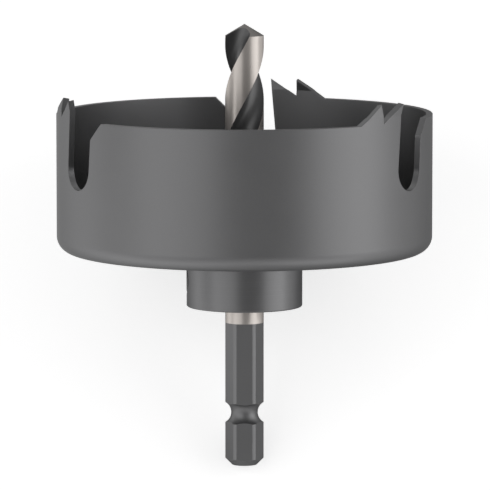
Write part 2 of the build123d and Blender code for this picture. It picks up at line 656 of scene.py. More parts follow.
def merged(name: str, parts: list[bpy.types.Object]) -> bpy.types.Object:
    """Welds several open meshes into one.

    Args:
        name: The new object's name.
        parts: The objects, which are used up.

    Returns:
        The welded object.
    """
    sheet = bmesh.new()
    for part in parts:
        sheet.from_mesh(part.data)
        bpy.data.objects.remove(part)
    bmesh.ops.remove_doubles(sheet, verts=sheet.verts, dist=WELD)
    mesh = bpy.data.meshes.new(name)
    sheet.to_mesh(mesh)
    sheet.free()
    return new_object(name, mesh)


def recalculated(piece: bpy.types.Object) -> bpy.types.Object:
    """Turns the faces of a welded closed mesh outwards, and reports a mesh that isn't closed.

    Args:
        piece: The object with the mesh.

    Returns:
        The same object.
    """
    sheet = bmesh.new()
    sheet.from_mesh(piece.data)
    bmesh.ops.recalc_face_normals(sheet, faces=sheet.faces)
    open_edges = sum(1 for edge in sheet.edges if not edge.is_manifold)
    if open_edges:
        log.warning("%s: %d open edges", piece.name, open_edges)
    sheet.to_mesh(piece.data)
    sheet.free()
    return piece


def grow(piece: bpy.types.Object, tree: bpy.types.NodeTree, values: dict) -> bpy.types.Object:
    """Runs a geometry node tree on a piece and keeps the result as plain mesh.

    Args:
        piece: The object that the tree starts from.
        tree: The tree.
        values: Its named inputs.

    Returns:
        The same object.
    """
    step = piece.modifiers.new(tree.name, "NODES")
    step.node_group = tree
    for item in tree.interface.items_tree:
        if item.item_type == "SOCKET" and item.in_out == "INPUT" and item.name in values:
            step[item.identifier] = values[item.name]
    return baked(piece)


def side_matrix(drop: float) -> Matrix:
    """Takes a piece whose axis is Z to the hub's left side, its Z pointing outwards."""
    return Matrix.Translation((0, 0, -drop)) @ Matrix.Rotation(-pi / 2, 4, "Y")


@dataclass
class Smoothing:
    """How the finished meshes are shaded: edges between the creases' angles or past the last stay sharp."""

    crease_from: float = 8.5
    crease_to: float = 40.0
    sharp_from: float = 62.0
    weight: int = 60

    def apply(self, piece: bpy.types.Object) -> bpy.types.Object:
        """Shades a piece smooth, with its creases and sharp edges kept and flat faces true.

        Args:
            piece: The finished mesh.

        Returns:
            The same piece.
        """
        sheet = bmesh.new()
        sheet.from_mesh(piece.data)
        for edge in sheet.edges:
            turn = degrees(edge.calc_face_angle(0))
            creased = self.crease_from < turn < self.crease_to
            edge.smooth = not (creased or turn > self.sharp_from)
        for face in sheet.faces:
            face.smooth = True
        sheet.to_mesh(piece.data)
        sheet.free()
        weighted = piece.modifiers.new("Flat faces", "WEIGHTED_NORMAL")
        weighted.keep_sharp = True
        weighted.weight = self.weight
        return baked(piece)


class Workshop:
    """Holds the finishes, and hands finished pieces over to the frame."""

    def __init__(self) -> None:
        """Builds the shared groups and a material for each finish."""
        groups = {marks.value: kind.group(marks.value) for marks, kind in MARK_KINDS.items()}
        groups[EDGE_HIGHLIGHT_AND_WEAR.name] = EDGE_HIGHLIGHT_AND_WEAR.group()
        self.materials = {finish.name: finish.material(groups) for finish in FINISHES}

    def dress(self, piece: bpy.types.Object, finish: str) -> None:
        """Gives a whole piece one finish."""
        piece.data.materials.clear()
        piece.data.materials.append(self.materials[finish])

    def hand_over(self, piece: bpy.types.Object, node: str) -> bpy.types.Object:
        """Lays a piece down in the frame, in place of a CAD node.

        Args:
            piece: The finished piece, in tool coordinates.
            node: The CAD node that it stands for.

        Returns:
            The same piece, in the frame.
        """
        placed(piece, TO_FRAME)
        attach(piece, BODY)
        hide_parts(node)
        return piece


@dataclass
class Rim:
    """The rim over one tooth group: a value for each of its points, from left to right."""

    reference: np.ndarray
    offset: np.ndarray
    height: np.ndarray
    angle: np.ndarray


@dataclass
class CupShell:
    """The drawn cup with three groups of set teeth, each behind its gullet."""

    radius: float = TOOL.cup_radius
    wall: float = TOOL.wall
    height: float = 25.1
    corner: float = TOOL.cup_corner
    spigot_clearance: float = 0.02
    gullet_angles: Place = (60.0, 176.5, 299.0)
    gullet_width: float = 7.9
    gullet_depth: float = 12.4
    gullet_lean: float = 5.0
    gullet_chamfer: float = 3.0
    tooth_height: float = 3.45
    tooth_pitch: float = 5.3
    tooth_back_angle: float = 33.0
    second_face_lean: float = 2.5
    bend_height: float = 1.4
    tooth_set_angle: float = 11.0
    edge: float = 0.08
    column: float = 0.5
    band_foot: float = 10.0
    band_rows: int = 10
    floor_ring: float = 8.0
    group_start: float = -25.0
    group_end: float = 15.0
    spacing: float = 0.42
    grid: float = 0.62
    border_share: float = 0.55
    same_point: float = 1e-6
    corner_steps: int = 16
    gullet_steps: int = 36
    columns: int = 720

    def gullet_side(self, height: float, side: int) -> float:
        """Distance of a gullet's leaning side from its middle.

        Args:
            height: The height at which it is taken.
            side: -1 for the left side, 1 for the right one.

        Returns:
            The distance, with its sign.
        """
        foot = self.height - self.gullet_depth + self.gullet_width / 2
        half = self.gullet_width / 2 / cos(radians(self.gullet_lean))
        return side * half + (height - foot) * tan(radians(self.gullet_lean))

    def band_heights(self) -> list[float]:
        """Heights of the rows of points from the band's foot up to under the rim's edge."""
        return np.linspace(self.band_foot, self.height - self.edge, self.band_rows + 1).tolist()

    def ring(self, radius: float, angle: float, height: float) -> Place:
        """The point at an angle in degrees and a height, on a circle round the axis."""
        return (radius * sin(radians(angle)), -radius * cos(radians(angle)), height)

    def shell(self) -> bpy.types.Object:
        """The turned part below the gullets, and the plain stretches of band between the groups.

        Returns:
            The shell, open where the tooth groups go.
        """
        inner = self.radius - self.wall
        bore = TOOL.spigot + self.spigot_clearance
        inner_corner = self.corner - self.wall
        centre = (self.radius - self.corner, self.corner)
        section = [(inner, self.band_foot)]
        section += arc(centre, (inner_corner, inner_corner), 0, -90, self.corner_steps)
        section += [(bore + self.floor_ring, self.wall), (bore, self.wall)]
        section += [(bore, 0), (bore + self.floor_ring, 0)]
        section += arc(centre, (self.corner, self.corner), -90, 0, self.corner_steps)
        section += [(self.radius, self.band_foot)]
        base = turned("cup_base", section, self.columns, closed=False)
        points: list[Place] = []
        faces: list[Face] = []
        heights = self.band_heights()
        rim = [(self.radius - self.edge, self.height), (inner + self.edge, self.height)]
        outside = [(self.radius, height) for height in heights]
        inside = [(inner, height) for height in reversed(heights)]
        profile = outside + rim + inside
        rows = len(profile)
        starts = [angle + self.group_end for angle in self.gullet_angles]
        ends = [angle + self.group_start for angle in self.gullet_angles[1:]]
        ends.append(self.gullet_angles[0] + self.group_start + FULL_TURN)
        for start, end in zip(starts, ends):
            count = round((end - start) / self.column)
            first = len(points)
            for step in range(count + 1):
                angle = start + step * self.column
                points.extend(self.ring(radius, angle, height) for radius, height in profile)
            for step in range(count):
                here = first + step * rows
                there = here + rows
                faces.extend((here + r, there + r, there + r + 1, here + r + 1) for r in range(rows - 1))
        band = from_points("cup_band", np.array(points), faces)
        return merged("cup", [base, band])

    def stretch(self, reference: float, stops: Outline) -> list[Place]:
        """Points along straight runs between stops at one reference angle, the last stop left out."""
        runs = [line(start, end, self.spacing) for start, end in zip(stops, stops[1:])]
        return [(reference, x, z) for run in runs for x, z in run]

    def rim_outline(self) -> list[Place]:
        """The rim over one group: reference angle, offset and height of each point.

        Offsets are straight distances from the plane at the reference angle. The run goes
        from the plain rim over the second tooth, the first tooth and down round the gullet.

        Returns:
            The outline's points, from left to right.
        """
        rim = self.height
        top = rim + self.tooth_height
        slope = tan(radians(self.tooth_back_angle))
        back_run = self.tooth_height / slope
        lead = self.gullet_side(top, -1)
        lead_angle = degrees(asin(lead / self.radius))
        second_angle = lead_angle - degrees(self.tooth_pitch / self.radius)
        face_run = self.tooth_height * tan(radians(self.second_face_lean))
        lean_rate = face_run / self.tooth_height
        notch_drop = slope * (self.tooth_pitch - face_run)
        notch_rise = (self.tooth_height - notch_drop) / (1 + slope * lean_rate)
        notch = face_run * (1 - notch_rise / self.tooth_height)
        bend = self.bend_height
        bend_back = (self.tooth_height - bend) / slope
        bend_face = face_run * (self.tooth_height - bend) / self.tooth_height
        left_end = self.radius * sin(radians(self.group_start - second_angle))
        points = self.stretch(
            second_angle,
            [
                (left_end, rim),
                (-back_run, rim),
                (-bend_back, rim + bend),
                (0, top),
                (bend_face, rim + bend),
                (notch, rim + notch_rise),
            ],
        )
        lead_notch = -(self.tooth_height - notch_rise) / slope
        points += self.stretch(
            lead_angle, [(lead_notch, rim + notch_rise), (-bend_back, rim + bend), (0, top)]
        )
        foot = self.height - self.gullet_depth + self.gullet_width / 2
        half = self.gullet_width / 2
        turn = self.gullet_lean
        round_end = arc((0, foot), (half, half), 180 - turn, 360 - turn, self.gullet_steps)
        bend_side = (self.gullet_side(rim + bend, -1), rim + bend)
        points += self.stretch(0, [(lead, top), bend_side, round_end[0]])
        points += [(0, x, z) for x, z in round_end[:-1]]
        chamfer_foot = (self.gullet_side(rim - self.gullet_chamfer, 1), rim - self.gullet_chamfer)
        chamfer_top = (chamfer_foot[0] + self.gullet_chamfer, rim)
        right_end = (self.radius * sin(radians(self.group_end)), rim)
        points += self.stretch(0, [round_end[-1], chamfer_foot, chamfer_top, right_end])
        points.append((0, *right_end))
        return points

    def group(self) -> bpy.types.Object:
        """One tooth group with its gullet, as an open patch of wall centred on the front.

        Returns:
            The patch, whose sides and foot meet the shell's points.
        """
        reference, offset, height = np.array(self.rim_outline()).T
        angle = reference + np.degrees(np.arcsin(offset / self.radius))
        flat = np.stack([np.radians(angle) * self.radius, height], axis=1)
        way = np.diff(flat, axis=0)
        way /= np.linalg.norm(way, axis=1)[:, None]
        inwards = np.stack([way[:, 1], -way[:, 0]], axis=1)
        before = np.vstack([inwards[:1], inwards])
        after = np.vstack([inwards, inwards[-1:]])
        mitre = (before + after) / (1 + np.sum(before * after, axis=1))[:, None]
        inset = flat + mitre * self.edge
        bends = np.flatnonzero(np.abs(height - self.height - self.bend_height) < WELD)
        slide = (height[bends] - inset[bends, 1]) / way[bends, 1]
        inset[bends] += slide[:, None] * way[bends]
        rim = Rim(reference, offset, height, angle)
        points, faces = self.wrap(rim, *self.wall_points(inset, bends))
        return from_points("tooth_group", points, faces)

    def wall_points(self, inset: np.ndarray, bends: np.ndarray) -> tuple[list, list[Face], dict]:
        """Fills the unrolled wall under the inset rim with triangles.

        Args:
            inset: The rim's inset outline, as arc length and height.
            bends: Numbers of the rim points where the two bend lines start and end.

        Returns:
            The flat points, the triangles, and which point each rim point became.
        """
        per_degree = self.radius * pi / 180
        foot_angles = np.arange(self.group_start, self.group_end + self.column / 2, self.column)
        heights = self.band_heights()[1:-1]
        foot = [(angle * per_degree, self.band_foot) for angle in foot_angles]
        right = [(self.group_end * per_degree, height) for height in heights]
        left = [(self.group_start * per_degree, height) for height in reversed(heights)]
        loop = foot + right + [tuple(point) for point in inset[::-1]] + left
        first_rim = len(foot) + len(right)
        across = np.arange(self.group_start * per_degree, self.group_end * per_degree, self.grid)
        inner = []
        row_gap = self.grid * sqrt(3) / 2
        rows = int((self.height + self.tooth_height - self.band_foot) / row_gap)
        for row in range(1, rows):
            shift = self.grid / 2 * (row % 2)
            inner.extend((x + shift, self.band_foot + row * row_gap) for x in across)
        spots = np.array(inner)
        starts = np.array(loop)
        runs = np.roll(starts, -1, axis=0) - starts
        folds = []
        creases = []
        for start, end in zip(bends[::2], bends[1::2]):
            along = line(tuple(inset[start]), tuple(inset[end]), self.grid)[1:]
            chain = [first_rim + len(inset) - 1 - start]
            chain += range(len(loop) + len(folds), len(loop) + len(folds) + len(along))
            chain.append(first_rim + len(inset) - 1 - end)
            creases += list(zip(chain, chain[1:]))
            folds += along
            starts = np.vstack([starts, inset[start]])
            runs = np.vstack([runs, inset[end] - inset[start]])
        share = np.einsum("psk,sk->ps", spots[:, None] - starts[None], runs)
        share = np.clip(share / np.sum(runs * runs, axis=1)[None], 0, 1)
        nearest = starts[None] + share[..., None] * runs[None]
        gaps = np.linalg.norm(spots[:, None] - nearest, axis=2).min(axis=1)
        kept = [tuple(spot) for spot in spots[gaps > self.grid * self.border_share]]
        vertices = [Vector(point) for point in loop + folds + kept]
        ring = list(range(len(loop)))
        found = delaunay_2d_cdt(vertices, creases, [ring], 1, self.same_point)
        became = {}
        for number, sources in enumerate(found[3]):
            for source in sources:
                if first_rim <= source < first_rim + len(inset):
                    became[len(inset) - 1 - (source - first_rim)] = number
        return [tuple(point) for point in found[0]], [tuple(face) for face in found[2]], became

    def bent(self, radius: float, height: float, side: int) -> Spot:
        """Where the set of the teeth takes a point of the wall.

        Args:
            radius: The point's radius before the bend.
            height: Its height before the bend.
            side: 1 for a tooth that is bent outwards, -1 for one bent inwards.

        Returns:
            Its radius and height after the bend.
        """
        bend = self.height + self.bend_height
        rise = height - bend
        if rise < -WELD:
            return radius, height
        angle = radians(self.tooth_set_angle) * side
        middle = self.radius - self.wall / 2
        depth = radius - middle
        mitre = depth * tan(angle / 2)
        climb = mitre if rise < WELD else max(rise, mitre)
        return (
            middle + depth * cos(angle) + climb * sin(angle),
            bend + climb * cos(angle) - depth * sin(angle),
        )

    def wrap(
        self, rim: Rim, flat: list, triangles: list[Face], became: dict[int, int]
    ) -> tuple[np.ndarray, list[Face]]:
        """Wraps the flat wall round the cup, gives it its thickness and closes its rim.

        Args:
            rim: The group's rim.
            flat: Points of the unrolled wall, as arc length and height.
            triangles: Its triangles.
            became: Which of its points each rim point became.

        Returns:
            The points and the faces.
        """
        inner_radius = self.radius - self.wall
        last = len(rim.angle) - 1
        notch = (rim.reference[1:] != rim.reference[:-1]).nonzero()[0][0]
        along = np.radians(rim.angle) * self.radius
        lead_from = along[notch + 1] - self.edge / 4
        plane = np.array(flat)
        angle = np.degrees(plane[:, 0] / self.radius)
        inner_angle = angle.copy()
        for number, point in became.items():
            side = self.radius * sin(radians(angle[point] - rim.reference[number]))
            inner_angle[point] = rim.reference[number] + degrees(asin(side / inner_radius))
        for number in (0, last):
            inner_angle[became[number]] = angle[became[number]]
        sides = np.where(plane[:, 0] > lead_from, 1, -1)
        points = []
        for radius, angles in ((self.radius, angle), (inner_radius, inner_angle)):
            for turn, up, side in zip(angles, plane[:, 1], sides):
                bent_radius, bent_height = self.bent(radius, up, side)
                points.append(self.ring(bent_radius, turn, bent_height))
        rim_sides = np.where(along > lead_from, 1, -1)
        for radius in (self.radius - self.edge, inner_radius + self.edge):
            for number, side in enumerate(rim_sides):
                bent_radius, bent_height = self.bent(radius, rim.height[number], side)
                turn = rim.reference[number] + degrees(asin(rim.offset[number] / bent_radius))
                if number in (0, last):
                    turn = rim.angle[number]
                points.append(self.ring(bent_radius, turn, bent_height))
        count = len(flat)
        faces: list[Face] = [tuple(triangle) for triangle in triangles]
        faces += [tuple(count + number for number in reversed(triangle)) for triangle in triangles]
        outer_rim = 2 * count
        inner_rim = outer_rim + last + 1
        for number in range(last):
            here, there = became[number], became[number + 1]
            outer, inner = outer_rim + number, inner_rim + number
            faces.append((here, there, outer + 1, outer))
            faces.append((outer, outer + 1, inner + 1, inner))
            faces.append((inner, inner + 1, count + there, count + here))
        return np.array(points), faces

    def angle_inputs(self) -> dict[str, float]:
        """Each gullet's angle in radians, by the name of the tree's input."""
        return {f"Gullet Angle {n}": radians(angle) for n, angle in enumerate(self.gullet_angles, 1)}

    def tooth_ring(self, patch: bpy.types.Object, finish: bpy.types.Material) -> bpy.types.NodeTree:
        """The rule that sets one tooth group at each gullet's angle and welds it to the shell.

        Args:
            patch: The tooth group, centred on the front.
            finish: The cup's material.

        Returns:
            A geometry node tree with the three angles as named inputs.
        """
        number = "NodeSocketFloat"
        inputs: dict[str, tuple] = {"Geometry": ("NodeSocketGeometry", None)}
        inputs.update({name: (number, angle) for name, angle in self.angle_inputs().items()})
        inputs["Weld Distance"] = (number, WELD)
        sheet, given, result = group_tree(
            "Tooth ring", "GeometryNodeTree", inputs, {"Geometry": "NodeSocketGeometry"}
        )
        held = sheet.add("GeometryNodeObjectInfo", {"Object": patch}, transform_space="ORIGINAL")
        joined = [given.outputs["Geometry"]]
        for name in self.angle_inputs():
            turn = sheet.add("ShaderNodeCombineXYZ", {"Z": given.outputs[name]})
            spot = sheet.add("GeometryNodePoints", {"Count": 1})
            group = sheet.add(
                "GeometryNodeInstanceOnPoints",
                {
                    "Points": spot.outputs[0],
                    "Instance": held.outputs["Geometry"],
                    "Rotation": turn.outputs[0],
                },
            )
            joined.append(group.outputs[0])
        together = sheet.add("GeometryNodeJoinGeometry")
        for part in reversed(joined):
            sheet.feed(together, {0: part})
        real = sheet.add("GeometryNodeRealizeInstances", {"Geometry": together.outputs[0]})
        welded = sheet.add(
            "GeometryNodeMergeByDistance",
            {"Geometry": real.outputs[0], "Distance": given.outputs["Weld Distance"]},
        )
        dressed = sheet.add(
            "GeometryNodeSetMaterial", {"Geometry": welded.outputs[0], "Material": finish}
        )
        sheet.feed(result, {0: dressed.outputs[0]})
        return sheet.tree

    def build(self, shop: Workshop) -> bpy.types.Object:
        """Builds and dresses the cup.

        Args:
            shop: The workshop that holds the finishes.

        Returns:
            The cup, in the frame.
        """
        cup = self.shell()
        patch = self.group()
        tree = self.tooth_ring(patch, shop.materials["cup_coat"])
        grow(cup, tree, {**self.angle_inputs(), "Weld Distance": WELD})
        bpy.data.objects.remove(patch)
        recalculated(cup)
        Smoothing().apply(cup)
        shop.dress(cup, "cup_coat")
        return shop.hand_over(cup, "cup")


@dataclass
class Hub:
    """The turned collar, with its swaged spigot and the grub screw's hole."""

    radius: float = TOOL.hub_radius
    length: float = TOOL.hub_length
    edge_break: float = 0.25
    bore_clearance: float = 0.04
    spigot: float = TOOL.spigot
    swage_width: float = 1.0
    swage_height: float = 1.0
    swage_slope: float = 0.15
    swage_inset: float = 0.2
    wall: float = TOOL.wall
    hole_clearance: float = 0.03
    countersink: float = 0.25
    side_start: float = 1.0
    side_points: int = 9
    edge_steps: int = 5
    hole_columns: int = 96
    columns: int = 240

    def section(self) -> Outline:
        """The hub's section, with its turned edges eased.

        Returns:
            Radius and height of each point.
        """
        foot = -self.length
        bore = TOOL.bar_radius + self.bore_clearance
        ease = self.edge_break
        edge = arc((self.radius - ease, foot + ease), (ease, ease), -90, 0, self.edge_steps)
        side = np.linspace(foot + self.side_start, 0, self.side_points).tolist()
        top = self.wall + self.swage_height
        slope_foot = self.spigot + self.swage_width * self.swage_slope
        return [
            (bore, foot + ease),
            (bore + ease, foot),
            *edge,
            *[(self.radius, height) for height in side],
            (self.spigot, 0),
            (self.spigot, self.wall),
            (self.spigot + self.swage_width, self.wall),
            (slope_foot, top - self.swage_height * self.swage_slope),
            (self.spigot - self.swage_width * self.swage_inset, top),
            (bore + ease, top),
            (bore, top - ease),
        ]

    def build(self, shop: Workshop) -> bpy.types.Object:
        """Builds and dresses the hub.

        Args:
            shop: The workshop that holds the finishes.

        Returns:
            The hub, in the frame.
        """
        hub = turned("hub", self.section(), self.columns)
        hole = TOOL.screw_radius + self.hole_clearance
        flare = self.radius - self.countersink
        widened = self.countersink + PAST
        section = [(0, 0), (hole, 0), (hole, flare), (hole + widened, flare + widened), (0, flare + widened)]
        cutter = turned("screw_hole", section, self.hole_columns, closed=False)
        combined(hub, placed(cutter, side_matrix(TOOL.screw_drop)), Combine.CUT)
        recalculated(hub)
        Smoothing().apply(hub)
        shop.dress(hub, "hub_coat")
        return shop.hand_over(hub, "hub")


@dataclass
class GrubScrew:
    """The hexagon socket set screw that bears on the drill's flat."""

    radius: float = TOOL.screw_radius
    near: float = TOOL.bar_radius - TOOL.flat_depth
    far: float = TOOL.hub_radius
    chamfer: float = 0.3
    point_chamfer: float = 0.8
    socket_flats: float = 2.5
    socket_depth: float = 2.5
    thread_pitch: float = 0.8
    thread_depth: float = 0.38
    thread_steps: int = 32
    thread_corners: int = 4
    side_points: int = 24
    columns: int = 96

    def thread_tree(self, finish: bpy.types.Material) -> bpy.types.NodeTree:
        """The rule of the thread's groove: a small square profile that follows a helix.

        Args:
            finish: The screw's material.

        Returns:
            A geometry node tree with the thread's sizes as named inputs.
        """
        number = "NodeSocketFloat"
        sheet, given, result = group_tree(
            "Thread groove",
            "GeometryNodeTree",
            {
                "Geometry": ("NodeSocketGeometry", None),
                "Turns": (number, 8.0),
                "Radius": (number, 2.5),
                "Length": (number, 8.0),
                "Groove": (number, 0.4),
                "Start": (number, 0.0),
            },
            {"Geometry": "NodeSocketGeometry"},
        )
        helix = sheet.add(
            "GeometryNodeCurveSpiral",
            {
                "Resolution": self.thread_steps,
                "Rotations": given.outputs["Turns"],
                "Start Radius": given.outputs["Radius"],
                "End Radius": given.outputs["Radius"],
                "Height": given.outputs["Length"],
            },
        )
        profile = sheet.add(
            "GeometryNodeCurvePrimitiveCircle",
            {"Resolution": self.thread_corners, "Radius": given.outputs["Groove"]},
        )
        tube = sheet.add(
            "GeometryNodeCurveToMesh",
            {"Curve": helix.outputs[0], "Profile Curve": profile.outputs[0], "Fill Caps": True},
        )
        lift = sheet.add("ShaderNodeCombineXYZ", {"Z": given.outputs["Start"]})
        moved = sheet.add(
            "GeometryNodeTransform", {"Geometry": tube.outputs[0], "Translation": lift.outputs[0]}
        )
        real = sheet.add("GeometryNodeRealizeInstances", {"Geometry": moved.outputs[0]})
        dressed = sheet.add(
            "GeometryNodeSetMaterial", {"Geometry": real.outputs[0], "Material": finish}
        )
        sheet.feed(result, {0: dressed.outputs[0]})
        return sheet.tree

    def build(self, shop: Workshop) -> bpy.types.Object:
        """Builds and dresses the screw.

        Args:
            shop: The workshop that holds the finishes.

        Returns:
            The screw, in the frame.
        """
        side = np.linspace(self.near + self.point_chamfer, self.far - self.chamfer, self.side_points)
        section = [(0, self.near), (self.radius - self.point_chamfer, self.near)]
        section += [(self.radius, height) for height in side.tolist()]
        section += [(self.radius - self.chamfer, self.far), (0, self.far)]
        screw = turned("grub_screw", section, self.columns, closed=False)
        groove = new_object("thread_groove", bpy.data.meshes.new("thread_groove"))
        length = self.far - self.near + 2 * self.thread_pitch
        grow(
            groove,
            self.thread_tree(shop.materials["black_screw"]),
            {
                "Turns": length / self.thread_pitch,
                "Radius": self.radius,
                "Length": length,
                "Groove": self.thread_depth,
                "Start": self.near - self.thread_pitch,
            },
        )
        combined(screw, groove, Combine.CUT)
        corner_radius = self.socket_flats / sqrt(3)
        corners = arc((0, 0), (corner_radius, corner_radius), 0, FULL_TURN - SIXTH, HEX_SIDES - 1)
        socket = prism("socket", corners, self.far - self.socket_depth, self.far + PAST)
        combined(screw, socket, Combine.CUT)
        placed(screw, side_matrix(TOOL.screw_drop))
        recalculated(screw)
        Smoothing().apply(screw)
        shop.dress(screw, "black_screw")
        return shop.hand_over(screw, "grub_screw")


@dataclass
class PilotDrill:
    """The twist drill and its hexagonal shank, ground from one bar."""

    radius: float = TOOL.bar_radius
    reach: float = 41.2
    point_angle: float = 118.0
    flute_pitch: float = 40.0
    flute_length: float = 32.0
    land_angle: float = 90.0
    land_front_height: float = 32.4
    web: float = 2.1
    wheel_radius: float = 24.0
    hex_radius: float = 3.49
    groove_distance: float = 9.6
    groove_depth: float = 1.08
    groove_radii: Spot = (2.1, 2.15)
    flat_length: float = 8.0
    crease_from: float = 14.0
    sharp_from: float = 40.0
    rows: int = 150
    columns: int = 144
    outline_steps: int = 24
    cone_spacing: float = 0.5
    hex_rows: int = 24
    corner_steps: int = 6
    groove_steps: int = 28
    cone_slack: float = 0.02
    land_skin: float = 0.03
    land_facing: float = 0.9

    def flute_radius(self) -> float:
        """Radius of the circle that cuts a flute from the web out to the lands' edges.

        Returns:
            The radius, in millimetres.
        """
        web = self.web / 2
        edge = self.radius * sin(radians(self.land_angle / 2))
        return (self.radius**2 + web**2 - 2 * edge * web) / (2 * (edge - web))

    def flute_outline(self) -> Outline:
        """One cross-section of the fluted bar: two lands and two flutes, right way round.

        Returns:
            Points across the axis, with the first land's middle facing the front.
        """
        web = self.web / 2
        flute = self.flute_radius()
        half_land = self.land_angle / 2
        reach = self.radius * cos(radians(90 - half_land))
        spread = degrees(acos((web + flute - reach) / flute))
        points: Outline = []
        for front in (-90.0, 90.0):
            ends = (front - half_land, front + half_land)
            points += arc((0, 0), (self.radius, self.radius), *ends, self.outline_steps)[:-1]
            side = radians(front + 90)
            centre = ((web + flute) * cos(side), (web + flute) * sin(side))
            start = front + 90 + 180 + spread
            end = start - 2 * spread
            points += arc(centre, (flute, flute), start, end, self.outline_steps)[:-1]
        return points

    def twist_tree(self, finish: bpy.types.Material) -> bpy.types.NodeTree:
        """The rule of the fluted bar: its outline climbs and turns, and the flutes run out.

        Args:
            finish: The flutes' material.

        Returns:
            A geometry node tree with the drill's sizes as named inputs.
        """
        number = "NodeSocketFloat"
        sheet, given, result = group_tree(
            "Fluted bar",
            "GeometryNodeTree",
            {
                "Geometry": ("NodeSocketGeometry", None),
                "Outline Points": ("NodeSocketInt", 4),
                "Rows": ("NodeSocketInt", 10),
                "Foot": (number, 0.0),
                "Top": (number, 1.0),
                "Pitch": (number, 40.0),
                "Front Height": (number, 0.0),
                "Radius": (number, 3.5),
                "Web Radius": (number, 1.0),
                "Flute Radius": (number, 3.0),
                "Run-out Top": (number, 0.0),
                "Wheel Radius": (number, 24.0),
            },
            {"Geometry": "NodeSocketGeometry"},
        )
        count = given.outputs["Outline Points"]
        height = sheet.maths("SUBTRACT", given.outputs["Top"], given.outputs["Foot"])
        grid = sheet.add(
            "GeometryNodeMeshGrid",
            {
                "Size X": count,
                "Size Y": height,
                "Vertices X": sheet.maths("ADD", count, 1.0),
                "Vertices Y": given.outputs["Rows"],
            },
        )
        position = sheet.add("GeometryNodeInputPosition").outputs[0]
        spot = sheet.add("ShaderNodeSeparateXYZ", {0: position})
        half = sheet.maths("MULTIPLY", count, 0.5)
        number_here = sheet.maths("ROUND", sheet.maths("ADD", spot.outputs["X"], half))
        wrapped = sheet.maths("MODULO", number_here, count)
        outline_spot = sheet.add(
            "GeometryNodeSampleIndex",
            {"Geometry": given.outputs["Geometry"], "Value": position, "Index": wrapped},
            data_type="FLOAT_VECTOR",
        )
        middle = sheet.maths("ADD", given.outputs["Top"], given.outputs["Foot"])
        z = sheet.maths("ADD", spot.outputs["Y"], sheet.maths("MULTIPLY", middle, 0.5))
        flat_spot = sheet.add("ShaderNodeSeparateXYZ", {0: outline_spot.outputs[0]})
        across, along = flat_spot.outputs["X"], flat_spot.outputs["Y"]
        reach = sheet.add("ShaderNodeVectorMath", {0: outline_spot.outputs[0]}, operation="LENGTH")
        wheel = given.outputs["Wheel Radius"]
        drop = sheet.maths("MAXIMUM", sheet.maths("SUBTRACT", given.outputs["Run-out Top"], z), 0.0)
        drop = sheet.maths("MINIMUM", drop, wheel)
        wheel_square = sheet.maths("POWER", wheel, 2.0)
        chord = sheet.maths("SUBTRACT", wheel_square, sheet.maths("POWER", drop, 2.0))
        rise = sheet.maths("SUBTRACT", wheel, sheet.maths("SQRT", chord))
        floor = sheet.maths("ADD", given.outputs["Web Radius"], rise)
        floor = sheet.maths("MINIMUM", floor, given.outputs["Radius"])
        flute = given.outputs["Flute Radius"]
        centre = sheet.maths("ADD", given.outputs["Web Radius"], flute)
        centre_square = sheet.maths("POWER", centre, 2.0)
        powers = sheet.maths("SUBTRACT", centre_square, sheet.maths("POWER", flute, 2.0))
        powers = sheet.maths("ADD", powers, sheet.maths("POWER", floor, 2.0))
        double = sheet.maths("MULTIPLY", sheet.maths("MULTIPLY", floor, centre), 2.0)
        corner = sheet.maths("ARCCOSINE", sheet.maths("DIVIDE", powers, double))
        angle = sheet.maths("ARCTAN2", along, sheet.maths("ABSOLUTE", across))
        angle = sheet.maths("MINIMUM", angle, corner)
        angle = sheet.maths("MAXIMUM", angle, sheet.maths("MULTIPLY", corner, -1.0))
        floor_across = sheet.maths("MULTIPLY", floor, sheet.maths("COSINE", angle))
        run_out = sheet.add(
            "ShaderNodeCombineXYZ",
            {
                "X": sheet.maths("MULTIPLY", sheet.maths("SIGN", across), floor_across),
                "Y": sheet.maths("MULTIPLY", floor, sheet.maths("SINE", angle)),
            },
        )
        land_foot = sheet.maths("SUBTRACT", given.outputs["Radius"], 2 * WELD)
        floor_or_land = sheet.maths("MINIMUM", floor, land_foot)
        filled = sheet.maths("LESS_THAN", reach.outputs["Value"], floor_or_land)
        pushed = sheet.add(
            "ShaderNodeMix",
            {0: filled, 4: outline_spot.outputs[0], 5: run_out.outputs[0]},
            data_type="VECTOR",
        )
        climb = sheet.maths("SUBTRACT", z, given.outputs["Front Height"])
        turns = sheet.maths("DIVIDE", climb, given.outputs["Pitch"])
        spun = sheet.add(
            "ShaderNodeVectorRotate",
            {"Vector": pushed.outputs[1], "Angle": sheet.maths("MULTIPLY", turns, 2 * pi)},
            rotation_type="Z_AXIS",
        )
        lift = sheet.add("ShaderNodeCombineXYZ", {"Z": z})
        ends = {0: spun.outputs[0], 1: lift.outputs[0]}
        final = sheet.add("ShaderNodeVectorMath", ends, operation="ADD")
        bar = sheet.add(
            "GeometryNodeSetPosition", {"Geometry": grid.outputs[0], "Position": final.outputs[0]}
        )
        welded = sheet.add("GeometryNodeMergeByDistance", {"Geometry": bar.outputs[0], "Distance": WELD})
        real = sheet.add("GeometryNodeRealizeInstances", {"Geometry": welded.outputs[0]})
        dressed = sheet.add(
            "GeometryNodeSetMaterial", {"Geometry": real.outputs[0], "Material": finish}
        )
        sheet.feed(result, {0: dressed.outputs[0]})
        return sheet.tree

